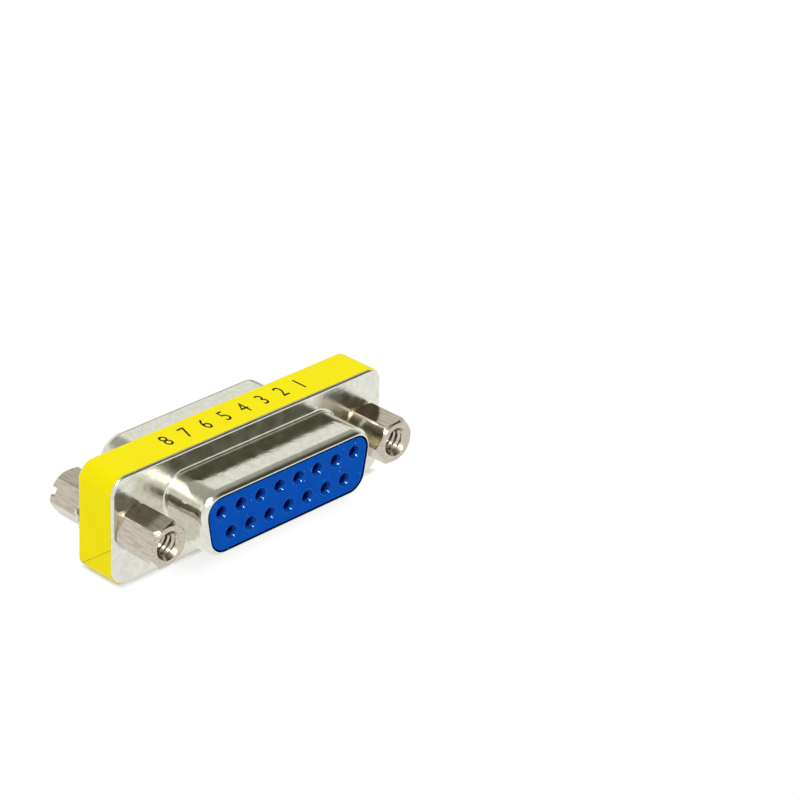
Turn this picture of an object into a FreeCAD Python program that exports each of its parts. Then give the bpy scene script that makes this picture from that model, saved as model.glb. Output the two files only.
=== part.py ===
"""D-subminiature gender changer, 15 ways, sockets on both faces.

Frame: X runs along the long side, +X to the right when the front face is looked at.
The front face, with the plain hex jack nuts, looks towards -Y and the rear face towards +Y.
Z is up. The origin is under the middle of the body, on the surface that the body stands on.
All lengths are in millimetres.
"""

import FreeCAD, Part
import math
import os

V = FreeCAD.Vector

# Contact pattern: the hood, the jacks and the flange are placed round it
PITCH = 2.77
ROW_SPACING = 2.84
LONG_ROW_COUNT = 8
SHORT_ROW_COUNT = 7

# Shells: two drawn pans of plated sheet steel, each with a D-shaped hood
HOOD_PAST_CONTACTS = 2.635
HOOD_PAST_ROWS = 2.53
JACK_PAST_HOOD = 4.33
FLANGE_PAST_JACK = 2.91
FLANGE_PAST_HOOD = 2.375
FLANGE_CORNER = 1.9
SHEET = 0.4
RIM_BEND = 0.33
BODY_DEPTH = 5.4
SHELL_GAP = 0.1
HOOD_DEPTH = 5.9
HOOD_CORNER = 2.6
HOOD_SLOPE = 10.0
HOOD_LIP = 1.0
LIP_TURN = 66.0
HOOD_ROOT = 0.4

# Insulators: two moulded blocks that meet at the middle of the body
MOULD_CLEARANCE = 0.08
NOSE_GAP = 0.2
FACE_RECESS = 0.06
FACE_EDGE = 0.12
FUNNEL_SPREAD = 0.23
FUNNEL_DEPTH = 0.5
PIN_CLEARANCE = 0.08

# Contacts: each is a socket at the front, a cranked strap and a socket at the rear
CONTACT_RECESS = 1.6
BARREL_BORE = 1.04
BARREL_WALL = 0.18
BARREL_FLOOR = 1.08
BARREL_END = 1.2
BARREL_LEAD = 0.12
TINE_SLIT = 0.22
TINE_LENGTH = 3.2
NECK = 0.8
STRAP_WIDTH = 0.8
STRAP_THICK = 0.3
CONTACT_CLEARANCE = 0.05

# Jack hardware: threads are drawn plain, a hole at its tapping size and a screw at its full size
THREAD_SIZE = 2.84
THREAD_HEIGHT = 0.29
THREAD_CLEARANCE = 0.02
SCREW_CLEARANCE = 0.13
HEX_FLATS = 4.76
HEX_CHAMFER = 0.15
HEX_CHAMFER_ANGLE = 40.0
JACK_NUT_LENGTH = 5.4
COUNTERSINK_MARGIN = 0.23
COUNTERSINK_DEPTH = 0.6
ENGAGEMENT = 2.2
SHANK_LEAD = 0.2
JACK_SCREW_LENGTH = 4.6
TAP_DEPTH = 3.9
DRILL_POINT = 118.0
SLOT_WIDTH = 1.0
SLOT_DEPTH = 0.8
NUT_TURN_LEFT = 10.0
NUT_TURN_RIGHT = 4.0
SCREW_TURN_LEFT = 5.0
SCREW_TURN_RIGHT = 18.0
SLOT_TURN_LEFT = 160.0
SLOT_TURN_RIGHT = 78.0

# Lock washers: external teeth, each twisted out of the plane of the ring
WASHER_THICK = 0.5
WASHER_CLEARANCE = 0.08
WASHER_RING_WIDTH = 0.85
TOOTH_REACH = 0.55
WASHER_TEETH = 8
TOOTH_WIDTH = 1.3
TOOTH_STOCK = 0.28
TOOTH_TWIST = 18.0

# Label: one strip of film wrapped round the rims, with its end lapped over its start at the left.
# The end is cut aslant, so it lies lower at the rear than at the front.
LABEL_THICK = 0.08
LAP_TOP = 8.0
LAP_END_FRONT = 4.6
LAP_END_REAR = 1.0

# Sizes and places that follow from the sizes above. HOOD_WIDTH is measured over the rounds, and
# LIP_PLANE_Y is the plane that the lip would touch if it turned in through a right angle.
HOOD_WIDTH = (LONG_ROW_COUNT - 1) * PITCH + 2 * HOOD_PAST_CONTACTS
HOOD_HEIGHT = ROW_SPACING + 2 * HOOD_PAST_ROWS
JACK_X = HOOD_WIDTH / 2 + JACK_PAST_HOOD
FLANGE_LENGTH = 2 * (JACK_X + FLANGE_PAST_JACK)
FLANGE_HEIGHT = HOOD_HEIGHT + 2 * FLANGE_PAST_HOOD
FACE_Y = BODY_DEPTH / 2
HOOD_Y = FACE_Y + HOOD_DEPTH
MOUTH_INSET = HOOD_LIP * (1 - math.cos(math.radians(LIP_TURN)))
LIP_PLANE_Y = HOOD_Y + HOOD_LIP * (1 - math.sin(math.radians(LIP_TURN)))
MOULD_FACE_Y = HOOD_Y - FACE_RECESS
SHOULDER_Y = LIP_PLANE_Y - SHEET
CONTACT_Y = MOULD_FACE_Y - CONTACT_RECESS
CENTRE_Z = LABEL_THICK + FLANGE_HEIGHT / 2
SCREW_BASE_Y = FACE_Y + WASHER_THICK
LABEL_WIDTH = BODY_DEPTH - 2 * RIM_BEND
BARREL = BARREL_BORE + 2 * BARREL_WALL
PIN_HOLE = BARREL_BORE + 2 * PIN_CLEARANCE
FUNNEL_MOUTH = PIN_HOLE + 2 * FUNNEL_SPREAD
TAP_HOLE = THREAD_SIZE - 2 * THREAD_HEIGHT
COUNTERSINK = THREAD_SIZE + 2 * COUNTERSINK_MARGIN
SCREW_HOLE = THREAD_SIZE + 2 * SCREW_CLEARANCE
WASHER_HOLE = THREAD_SIZE + 2 * WASHER_CLEARANCE
WASHER_RING = WASHER_HOLE + 2 * WASHER_RING_WIDTH
WASHER_OUTSIDE = WASHER_RING + 2 * TOOTH_REACH
TINY = 1e-4


def wire_round(corners, radius, y):
    """A closed wire through (x, z) corners in the plane y, each corner rounded by a tangent arc."""
    count = len(corners)
    arcs = []
    for i, corner in enumerate(corners):
        here = V(corner[0], y, corner[1])
        before = V(corners[i - 1][0], y, corners[i - 1][1]) - here
        after = V(corners[(i + 1) % count][0], y, corners[(i + 1) % count][1]) - here
        half = before.getAngle(after) / 2
        before.normalize()
        after.normalize()
        inward = before + after
        inward.normalize()
        reach = radius / math.tan(half)
        centre = here + inward * (radius / math.sin(half))
        arcs.append((here + before * reach, centre - inward * radius, here + after * reach))
    edges = []
    for i, (start, middle, end) in enumerate(arcs):
        edges.append(Part.Arc(start, middle, end).toShape())
        following = arcs[(i + 1) % count][0]
        if end.distanceToPoint(following) > TINY:
            edges.append(Part.LineSegment(end, following).toShape())
    return Part.Wire(edges)


def prism(wire, y_end):
    """The solid between a wire in a plane of constant y and the plane y_end."""
    depth = y_end - wire.BoundBox.YMin
    return Part.Face(wire).extrude(V(0, depth, 0))


def flange_outline(inset, y):
    """The rim's rounded rectangle, moved in by inset."""
    half_x = FLANGE_LENGTH / 2 - inset
    half_z = FLANGE_HEIGHT / 2 - inset
    corners = [(-half_x, half_z), (half_x, half_z), (half_x, -half_z), (-half_x, -half_z)]
    corners = [(x, CENTRE_Z + z) for x, z in corners]
    return wire_round(corners, FLANGE_CORNER - inset, y)


def hood_outline(inset, y):
    """The D of the hood, wide side up, moved in by inset."""
    slope = math.radians(HOOD_SLOPE)
    radius = HOOD_CORNER - inset
    half_z = HOOD_HEIGHT / 2 - inset
    over_round = math.tan(slope) + 1 / math.cos(slope) - 1
    half_top = HOOD_WIDTH / 2 - inset + radius * over_round
    half_bottom = half_top - 2 * half_z * math.tan(slope)
    corners = [(-half_top, half_z), (half_top, half_z), (half_bottom, -half_z), (-half_bottom, -half_z)]
    corners = [(x, CENTRE_Z + z) for x, z in corners]
    return wire_round(corners, radius, y)


def edges_in_plane(shape, y):
    """The edges that lie wholly in the plane y."""
    return [e for e in shape.Edges if abs(e.BoundBox.YMin - y) < TINY and abs(e.BoundBox.YMax - y) < TINY]


def edges_on_outline(shape, wire, y):
    """The edges in the plane y whose middle lies on the wire."""
    found = []
    for edge in edges_in_plane(shape, y):
        middle = edge.valueAt((edge.FirstParameter + edge.LastParameter) / 2)
        if wire.distToShape(Part.Vertex(middle))[0] < TINY:
            found.append(edge)
    return found


def rod(diameter, y_start, y_end, x=0.0, z=None):
    """A plain cylinder along Y."""
    base = V(x, min(y_start, y_end), CENTRE_Z if z is None else z)
    return Part.makeCylinder(diameter / 2, abs(y_end - y_start), base, V(0, 1, 0))


def cone(start_diameter, end_diameter, y_start, y_end, x=0.0, z=None):
    """A cone along Y with its first diameter at y_start."""
    base = V(x, y_start, CENTRE_Z if z is None else z)
    way = V(0, 1 if y_end > y_start else -1, 0)
    return Part.makeCone(start_diameter / 2, end_diameter / 2, abs(y_end - y_start), base, way)


def turned_to_rear(shape):
    """The shape turned half a turn about the body's long axis, which takes front to rear."""
    turned = shape.copy()
    turned.rotate(V(0, 0, CENTRE_Z), V(1, 0, 0), 180)
    return turned


def front_shell():
    """A pan with a turned-back rim, a D hood with a rolled-in lip, and two screw holes."""
    pan = prism(flange_outline(0, -FACE_Y), -SHELL_GAP / 2)
    pan = pan.makeFillet(RIM_BEND, edges_in_plane(pan, -FACE_Y))
    hood = prism(hood_outline(0, -LIP_PLANE_Y), -FACE_Y + SHEET / 2)
    hood = hood.makeFillet(HOOD_LIP, edges_in_plane(hood, -LIP_PLANE_Y))
    outside = pan.fuse(hood).removeSplitter()
    root = edges_on_outline(outside, hood_outline(0, -FACE_Y), -FACE_Y)
    outside = outside.makeFillet(HOOD_ROOT, root)

    inner_face = -FACE_Y + SHEET
    pan_hollow = prism(flange_outline(SHEET, inner_face), SHELL_GAP)
    hood_hollow = prism(hood_outline(SHEET, -SHOULDER_Y), inner_face + SHEET / 2)
    hood_hollow = hood_hollow.makeFillet(HOOD_LIP - SHEET, edges_in_plane(hood_hollow, -SHOULDER_Y))
    hollow = pan_hollow.fuse(hood_hollow).removeSplitter()
    inner_root = edges_on_outline(hollow, hood_outline(SHEET, inner_face), inner_face)
    hollow = hollow.makeFillet(HOOD_ROOT + SHEET, inner_root)

    mouth = prism(hood_outline(MOUTH_INSET, -LIP_PLANE_Y - SHEET), -LIP_PLANE_Y + HOOD_LIP)
    holes = [rod(SCREW_HOLE, -FACE_Y - SHEET, inner_face + SHEET, side * JACK_X) for side in (-1, 1)]
    return outside.cut([hollow, mouth] + holes)


def contact_places():
    """(number, x, z at the front) of each contact, counted from the right of the long row."""
    places = []
    upper = ROW_SPACING / 2
    for first, count, z in ((1, LONG_ROW_COUNT, upper), (LONG_ROW_COUNT + 1, SHORT_ROW_COUNT, -upper)):
        for i in range(count):
            x = ((count - 1) / 2 - i) * PITCH
            places.append((first + i, x, CENTRE_Z + z))
    return places


def cavity(x, z):
    """The hole for one contact: funnel, pin hole, barrel cavity and half of the strap's slot."""
    seat = -CONTACT_Y - CONTACT_CLEARANCE
    slot_half = STRAP_THICK / 2 + CONTACT_CLEARANCE
    slot_width = STRAP_WIDTH + 2 * CONTACT_CLEARANCE
    slot_height = ROW_SPACING + NECK + 2 * CONTACT_CLEARANCE
    funnel = cone(FUNNEL_MOUTH, PIN_HOLE, -MOULD_FACE_Y, -MOULD_FACE_Y + FUNNEL_DEPTH, x, z)
    pin_hole = rod(PIN_HOLE, -MOULD_FACE_Y + FUNNEL_DEPTH / 2, seat + CONTACT_CLEARANCE, x, z)
    barrel = rod(BARREL + 2 * CONTACT_CLEARANCE, seat, SHELL_GAP, x, z)
    corner = V(x - slot_width / 2, -slot_half, CENTRE_Z - slot_height / 2)
    slot = Part.makeBox(slot_width, slot_half + SHELL_GAP, slot_height, corner)
    return funnel.fuse([pin_hole, barrel, slot])


def front_insulator():
    """A D nose inside the hood on a plate inside the pan, with a hole for each contact."""
    nose = prism(hood_outline(MOUTH_INSET + NOSE_GAP, -MOULD_FACE_Y), -FACE_Y)
    nose = nose.makeChamfer(FACE_EDGE, edges_in_plane(nose, -MOULD_FACE_Y))
    trunk_front = -SHOULDER_Y + MOULD_CLEARANCE
    trunk = prism(hood_outline(SHEET + MOULD_CLEARANCE, trunk_front), -FACE_Y + SHEET)
    trunk = trunk.makeFillet(HOOD_LIP - SHEET, edges_in_plane(trunk, trunk_front))
    plate = prism(flange_outline(SHEET + MOULD_CLEARANCE, -FACE_Y + SHEET), 0)
    block = nose.fuse([trunk, plate]).removeSplitter()
    holes = [rod(SCREW_HOLE, -FACE_Y, SHEET, side * JACK_X) for side in (-1, 1)]
    cavities = [cavity(x, z) for _, x, z in contact_places()]
    return block.cut(holes + cavities)


def socket_half(x, z):
    """The front half of a contact: a slit, bored barrel and the neck behind it."""
    front = -CONTACT_Y
    barrel = rod(BARREL, front, -BARREL_END, x, z)
    neck = rod(NECK, -BARREL_END, 0, x, z)
    bore = rod(BARREL_BORE, front, -BARREL_END - BARREL_FLOOR, x, z)
    lead = cone(BARREL_BORE + 2 * BARREL_LEAD, BARREL_BORE, front, front + BARREL_LEAD, x, z)
    corner = V(x - BARREL, front - BARREL, z - TINE_SLIT / 2)
    slit = Part.makeBox(2 * BARREL, BARREL + TINE_LENGTH, TINE_SLIT, corner)
    return barrel.fuse(neck).cut([bore, lead, slit])


def contact(x, z):
    """One double-ended contact. The strap takes it from its row at the front to the other at the rear."""
    front = socket_half(x, z)
    rear = turned_to_rear(front)
    strap_height = ROW_SPACING + NECK
    corner = V(x - STRAP_WIDTH / 2, -STRAP_THICK / 2, CENTRE_Z - strap_height / 2)
    strap = Part.makeBox(STRAP_WIDTH, STRAP_THICK, strap_height, corner)
    clear = STRAP_THICK / 2
    corner = V(x - 2 * BARREL, -CONTACT_Y, z - 2 * BARREL)
    half_space = Part.makeBox(4 * BARREL, CONTACT_Y + clear, 4 * BARREL, corner)
    front = front.common(half_space)
    rear = rear.common(turned_to_rear(half_space))
    return strap.fuse([front, rear]).removeSplitter()


def hexagon(y_start, y_end, x, turn):
    """A hexagonal bar along Y with the corners turned off at both ends."""
    across = HEX_FLATS / 2 / math.cos(math.pi / 6)
    corners = []
    for k in range(6):
        angle = math.radians(turn + 60 * k)
        corners.append(V(x + across * math.cos(angle), y_start, CENTRE_Z + across * math.sin(angle)))
    bar = Part.Face(Part.makePolygon(corners + corners[:1])).extrude(V(0, y_end - y_start, 0))
    face = HEX_FLATS - 2 * HEX_CHAMFER
    depth = (across - face / 2) * math.tan(math.radians(HEX_CHAMFER_ANGLE))
    for tip, other in ((y_end, y_start), (y_start, y_end)):
        shoulder = tip + math.copysign(depth, other - tip)
        turned = cone(face, 2 * across, tip, shoulder, x).fuse(rod(2 * across + SHEET, shoulder, other, x))
        bar = bar.common(turned)
    return bar


def jack_nut(x, turn):
    """The plain hex piece at the front: tapped through, with the screw's thread in its back end."""
    tip = -FACE_Y - JACK_NUT_LENGTH
    body = hexagon(-FACE_Y, tip, x, turn)
    tapped = rod(TAP_HOLE, tip, -FACE_Y, x)
    mouth = cone(COUNTERSINK, TAP_HOLE, tip, tip + COUNTERSINK_DEPTH, x)
    seat = rod(THREAD_SIZE + 2 * THREAD_CLEARANCE, -FACE_Y - ENGAGEMENT - THREAD_CLEARANCE, -FACE_Y, x)
    return body.cut([tapped, mouth, seat])


def jack_screw(x, turn, slot_turn):
    """The slotted hex piece at the rear, tapped from its end, with the shank that reaches the nut."""
    tip = SCREW_BASE_Y + JACK_SCREW_LENGTH
    body = hexagon(SCREW_BASE_Y, tip, x, turn)
    shank = rod(THREAD_SIZE, -FACE_Y - ENGAGEMENT, SCREW_BASE_Y + HEX_CHAMFER, x)
    shank = shank.makeChamfer(SHANK_LEAD, edges_in_plane(shank, -FACE_Y - ENGAGEMENT))
    tapped = rod(TAP_HOLE, tip, tip - TAP_DEPTH, x)
    point_depth = TAP_HOLE / 2 / math.tan(math.radians(DRILL_POINT / 2))
    point = cone(TAP_HOLE, 0, tip - TAP_DEPTH, tip - TAP_DEPTH - point_depth, x)
    mouth = cone(COUNTERSINK, TAP_HOLE, tip, tip - COUNTERSINK_DEPTH, x)
    slot = Part.makeBox(2 * HEX_FLATS, SLOT_DEPTH, SLOT_WIDTH,
                        V(x - HEX_FLATS, tip - SLOT_DEPTH, CENTRE_Z - SLOT_WIDTH / 2))
    slot.rotate(V(x, 0, CENTRE_Z), V(0, 1, 0), -slot_turn)
    return body.fuse(shank).cut([tapped, point, mouth, slot])


def lock_washer(x):
    """A flat ring with teeth that are twisted to bite the flange and the hex."""
    middle = FACE_Y + WASHER_THICK / 2
    ring = rod(WASHER_RING, middle - TOOTH_STOCK / 2, middle + TOOTH_STOCK / 2, x)
    root = WASHER_RING / 2 - TOOTH_STOCK
    reach = WASHER_OUTSIDE / 2
    foot = V(root, -TOOTH_STOCK / 2, -TOOTH_WIDTH / 2)
    teeth = []
    for k in range(WASHER_TEETH):
        tooth = Part.makeBox(reach - root, TOOTH_STOCK, TOOTH_WIDTH, foot)
        tooth.rotate(V(0, 0, 0), V(1, 0, 0), TOOTH_TWIST)
        tooth.rotate(V(0, 0, 0), V(0, 1, 0), 360 * k / WASHER_TEETH)
        tooth.translate(V(x, middle, CENTRE_Z))
        teeth.append(tooth)
    space = rod(2 * WASHER_OUTSIDE, FACE_Y, FACE_Y + WASHER_THICK, x)
    washer = ring.fuse(teeth).common(space)
    return washer.cut(rod(WASHER_HOLE, FACE_Y, FACE_Y + WASHER_THICK, x))


def film(inset, start):
    """One layer of the label's film, laid on the rim's outline moved in by inset."""
    outside = prism(flange_outline(inset - LABEL_THICK, start), -start)
    return outside.cut(prism(flange_outline(inset, start), -start))


def label_band():
    """The wrapped strip: one layer all round and a second where its end laps the left side."""
    start = -LABEL_WIDTH / 2
    left = -FLANGE_LENGTH / 2 - 2 * LABEL_THICK
    ends = [V(left, start, LAP_END_FRONT), V(left, start, LAP_TOP)]
    ends += [V(left, -start, LAP_TOP), V(left, -start, LAP_END_REAR)]
    lapped = Part.Face(Part.makePolygon(ends + ends[:1])).extrude(V(FLANGE_CORNER, 0, 0))
    lap = film(-LABEL_THICK, start).common(lapped)
    return film(0, start).fuse(lap).removeSplitter()


def build():
    """Every piece of the assembly by its node's name."""
    shell = front_shell()
    insulator = front_insulator()
    pieces = {
        "front_shell": shell,
        "rear_shell": turned_to_rear(shell),
        "front_insulator": insulator,
        "rear_insulator": turned_to_rear(insulator),
        "label_band": label_band(),
        "jack_nut_left": jack_nut(-JACK_X, NUT_TURN_LEFT),
        "jack_nut_right": jack_nut(JACK_X, NUT_TURN_RIGHT),
        "jack_screw_left": jack_screw(-JACK_X, SCREW_TURN_LEFT, SLOT_TURN_LEFT),
        "jack_screw_right": jack_screw(JACK_X, SCREW_TURN_RIGHT, SLOT_TURN_RIGHT),
        "lock_washer_left": lock_washer(-JACK_X),
        "lock_washer_right": lock_washer(JACK_X),
    }
    for number, x, z in contact_places():
        pieces[f"contact_{number:02d}"] = contact(x, z)
    return pieces


def main():
    os.makedirs("parts", exist_ok=True)
    for name, shape in build().items():
        shape.exportStep(f"parts/{name}.step")
        print(name, "solids", len(shape.Solids), "valid", shape.isValid(), "volume", round(shape.Volume, 3))


main()
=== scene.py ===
"""Looks of a D-subminiature gender changer: nickel-plated shells, hex jacks, blue sockets and a label.

Each piece is modelled lying down, with its front towards +Z, and is then stood up so that its
front looks towards -Y. Lengths are in metres; MM turns millimetres into them.
"""

import math

import bmesh
import bpy
from bpy.props import FloatProperty, FloatVectorProperty, IntProperty, PointerProperty
from mathutils import Matrix, Vector


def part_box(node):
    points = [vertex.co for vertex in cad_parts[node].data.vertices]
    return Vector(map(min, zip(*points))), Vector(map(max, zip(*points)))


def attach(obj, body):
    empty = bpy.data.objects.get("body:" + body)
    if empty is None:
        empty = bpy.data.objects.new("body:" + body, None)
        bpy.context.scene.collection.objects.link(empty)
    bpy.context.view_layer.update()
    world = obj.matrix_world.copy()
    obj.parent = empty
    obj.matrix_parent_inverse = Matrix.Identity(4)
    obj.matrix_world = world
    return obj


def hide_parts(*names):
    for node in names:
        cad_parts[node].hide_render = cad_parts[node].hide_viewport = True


bl_info = {
    "name": "D-Sub Gender Changer",
    "version": (1, 0, 0),
    "blender": (4, 5, 0),
    "location": "3D View > Sidebar > Gender Changer",
    "description": "Builds the visible pieces of a slim D-subminiature gender changer",
    "category": "Object",
}

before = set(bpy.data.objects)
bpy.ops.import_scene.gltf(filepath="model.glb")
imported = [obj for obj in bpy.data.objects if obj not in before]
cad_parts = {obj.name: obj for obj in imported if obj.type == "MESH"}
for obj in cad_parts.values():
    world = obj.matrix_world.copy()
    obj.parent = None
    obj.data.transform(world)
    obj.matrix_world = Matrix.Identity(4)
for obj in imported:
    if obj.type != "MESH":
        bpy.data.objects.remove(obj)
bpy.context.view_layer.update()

MM = 0.001
BODY = "root"

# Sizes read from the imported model
SHELL_LOW, SHELL_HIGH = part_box("front_shell")
NUT_LOW, NUT_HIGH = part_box("jack_nut_right")
BAND_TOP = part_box("label_band")[1].z
SCREW_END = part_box("jack_screw_right")[1].y
CENTRE_Z = (SHELL_LOW.z + SHELL_HIGH.z) / 2
FACE_Y = -NUT_HIGH.y
HOOD_Y = -SHELL_LOW.y
JACK_X = 16.66 * MM


def rgb(code):
    """An sRGB hex colour such as "F8E71C" as linear red, green, blue and alpha."""
    channels = [int(code[i:i + 2], 16) / 255 for i in (0, 2, 4)]
    linear = [c / 12.92 if c <= 0.04045 else ((c + 0.055) / 1.055) ** 2.4 for c in channels]
    return (*linear, 1.0)


def length(name, text, value):
    """A length property in metres."""
    return FloatProperty(name=name, description=text, default=value, unit="LENGTH", precision=5)


def angle(name, text, degrees):
    """An angle property with its default given in degrees."""
    return FloatProperty(name=name, description=text, default=math.radians(degrees), subtype="ANGLE")


def colour(name, text, code):
    """A colour property with its default given as an sRGB hex value."""
    return FloatVectorProperty(name=name, description=text, default=rgb(code), size=4,
                               subtype="COLOR", min=0.0, max=1.0)


class ShellSizes(bpy.types.PropertyGroup):
    """Sizes of one drawn shell: a pan with a turned-back rim and a D-shaped hood."""

    flange_length: length("Flange Length", "Length of the pan over its rim", SHELL_HIGH.x - SHELL_LOW.x)
    flange_height: length("Flange Height", "Height of the pan over its rim", SHELL_HIGH.z - SHELL_LOW.z)
    flange_corner: length("Flange Corner", "Radius of the pan's corners", 1.9 * MM)
    rim_bend: length("Rim Bend", "Outer radius where the rim turns back", 0.33 * MM)
    seam: length("Seam", "Half of the gap between the two rims", 0.05 * MM)
    sheet: length("Sheet", "Thickness of the sheet steel", 0.4 * MM)
    hood_width: length("Hood Width", "Width of the hood over its rounds", 24.66 * MM)
    hood_height: length("Hood Height", "Height of the hood", 7.9 * MM)
    hood_corner: length("Hood Corner", "Outer radius of the hood's corners", 2.6 * MM)
    hood_slope: angle("Hood Slope", "Lean of the hood's short sides", 10)
    hood_lip: length("Hood Lip", "Radius that rolls the hood's end inwards", 1.0 * MM)
    lip_turn: angle("Lip Turn", "Angle through which the hood's end rolls in", 66)
    mouth_edge: length("Mouth Edge", "Width of the cut edge round the mouth that faces forward", 0.05 * MM)
    hood_root: length("Hood Root", "Fillet between the hood and the flange", 0.4 * MM)
    screw_hole: length("Screw Hole", "Diameter of the holes for the jack screws", 3.1 * MM)


class MouldSizes(bpy.types.PropertyGroup):
    """Sizes of one moulded insulator and its contact holes."""

    clearance: length("Clearance", "Gap between the moulding and the shell", 0.08 * MM)
    nose_gap: length("Nose Gap", "Gap between the nose and the hood's mouth", 0.22 * MM)
    recess: length("Recess", "How far the face lies behind the hood's end", 0.06 * MM)
    face_edge: length("Face Edge", "Rounding round the face", 0.06 * MM)
    back: length("Back", "How far the block's back lies in front of the body's middle", 0.2 * MM)
    pitch: length("Pitch", "Distance between neighbouring contacts", 2.77 * MM)
    row_spacing: length("Row Spacing", "Distance between the two rows", 2.84 * MM)
    funnel_mouth: length("Funnel Mouth", "Diameter of a hole at the face", 1.66 * MM)
    funnel_depth: length("Funnel Depth", "Depth of the lead-in cone", 0.5 * MM)
    pin_hole: length("Pin Hole", "Diameter of the pin hole", 1.2 * MM)
    seat: length("Contact Seat", "Depth at which the hole widens for the contact", 1.55 * MM)
    cavity: length("Cavity", "Diameter of the hole round the contact", 1.5 * MM)
    long_row: IntProperty(name="Long Row", description="Contacts in the longer row", default=8, min=2)


class JackSizes(bpy.types.PropertyGroup):
    """Sizes shared by the plain and the slotted hex pieces."""

    flats: length("Across Flats", "Size of the hexagon", 4.76 * MM)
    edge: length("Edge Break", "Tiny round along the hexagon's edges", 0.07 * MM)
    chamfer: length("Chamfer", "How far the end face lies inside the flats", 0.15 * MM)
    chamfer_angle: angle("Chamfer Angle", "Slope of the turned chamfer", 40)
    minor: length("Thread Minor", "Diameter over the thread's crests", 2.26 * MM)
    major: length("Thread Major", "Diameter at the bottom of the thread", 2.8 * MM)
    pitch: length("Thread Pitch", "Advance of the thread in one turn", 0.635 * MM)
    countersink: length("Countersink", "Diameter of the cone at the mouth", 3.3 * MM)
    countersink_depth: length("Countersink Depth", "Depth of the cone down to the crests", 0.6 * MM)
    engagement: length("Engagement", "How far a screw's shank enters its nut", 2.2 * MM)
    shank: length("Shank", "Diameter of the screw's shank", 2.84 * MM)
    tap_depth: length("Tap Depth", "Depth of the thread in a screw's head", 3.9 * MM)
    slot_width: length("Slot Width", "Width of the driving slot", 1.0 * MM)
    slot_depth: length("Slot Depth", "Depth of the driving slot", 0.8 * MM)


class LabelSizes(bpy.types.PropertyGroup):
    """Sizes of the label band and its print."""

    thick: length("Film", "Thickness of the film", 0.08 * MM)
    lap_front: length("Lap at Front", "Height of the lapped end at the front edge", 4.6 * MM)
    lap_rear: length("Lap at Rear", "Height of the lapped end at the rear edge", 1.0 * MM)
    lap_top: length("Lap Top", "Height at which the under layer starts", 8.0 * MM)
    digit: length("Digit Height", "Height of the printed numbers", 2.1 * MM)


class Colours(bpy.types.PropertyGroup):
    """Colours of the finishes and of the stage."""

    nickel: colour("Nickel", "Bright nickel plate of the shells", "E7E6DC")
    cut_edge: colour("Cut Edge", "Burnished edge round the mouth of a shell", "FBF8F0")
    satin_nickel: colour("Satin Nickel", "Nickel plate of the turned pieces", "CDC4B6")
    gold: colour("Gold", "Gold flash of the contacts", "D9AE5C")
    blue: colour("Blue", "Moulded plastic of the insulators", "0650B4")
    speck: colour("Speck", "Filler that shows as specks in the blue", "95CBFF")
    # Painted shade: the dark blue that the contact holes are painted down to with depth
    sunk: colour("Painted Hole Shade", "The blue deep in a hole", "030769")
    glint: colour("Glint", "Tint of the sparks in the holes", "A0E1FF")
    yellow: colour("Yellow", "Film of the label", "FDEE0A")
    ink: colour("Ink", "Printed numbers", "0C0B08")
    floor: colour("Floor", "Floor and backdrop", "F6F6F6")


GROUPS = {
    "dsub_shell": ShellSizes,
    "dsub_mould": MouldSizes,
    "dsub_jack": JackSizes,
    "dsub_label": LabelSizes,
    "dsub_colours": Colours,
}


# Materials

def connect(tree, node, inputs):
    """Sets inputs of a node, or links them to a socket or to the first output that a node offers."""
    for key, value in inputs.items():
        if isinstance(value, bpy.types.Node):
            value = next(socket for socket in value.outputs if socket.enabled)
        if isinstance(value, bpy.types.NodeSocket):
            tree.links.new(value, node.inputs[key])
        else:
            node.inputs[key].default_value = value


def add(tree, kind, inputs=None, stops=(), **settings):
    """Adds a node with its settings, its inputs and, for a ramp, its stops (position, grey or colour)."""
    node = tree.nodes.new("ShaderNode" + kind)
    for key, value in settings.items():
        setattr(node, key, value)
    for i, (position, shade) in enumerate(stops):
        elements = node.color_ramp.elements
        element = elements[i] if i < len(elements) else elements.new(1.0)
        element.position = position
        element.color = shade if isinstance(shade, tuple) else (shade, shade, shade, 1)
    connect(tree, node, inputs or {})
    return node


def new_material(name, **surface):
    """A material with one Principled shader whose plain values are set on its own sockets."""
    material = bpy.data.materials.new(name)
    material.use_nodes = True
    tree = material.node_tree
    shader = tree.nodes["Principled BSDF"]
    connect(tree, shader, {key.replace("_", " "): value for key, value in surface.items()})
    place = add(tree, "TexCoord").outputs["Object"]
    return material, tree, shader, place


def per_metre(size_mm):
    """The scale that gives a texture cells of about this size."""
    return 1 / (size_mm * MM)


def times(tone, *factors):
    """A colour with its red, green and blue multiplied by these factors."""
    return (*(channel * factor for channel, factor in zip(tone, factors)), 1.0)


def grained(tree, shader, place, size_mm, detail, strength, depth_mm):
    """Gives a surface its fine grain: noise with cells of this size that bumps it."""
    noise = add(tree, "TexNoise", {"Vector": place, "Scale": per_metre(size_mm), "Detail": detail})
    bump = add(tree, "Bump", {"Height": noise, "Strength": strength, "Distance": depth_mm * MM})
    connect(tree, shader, {"Normal": bump})


def from_middle(tree, place):
    """How far a point of the surface lies in front of or behind the body's middle."""
    along = add(tree, "SeparateXYZ", {"Vector": place}).outputs["Y"]
    return add(tree, "Math", {0: along}, operation="ABSOLUTE")


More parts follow.
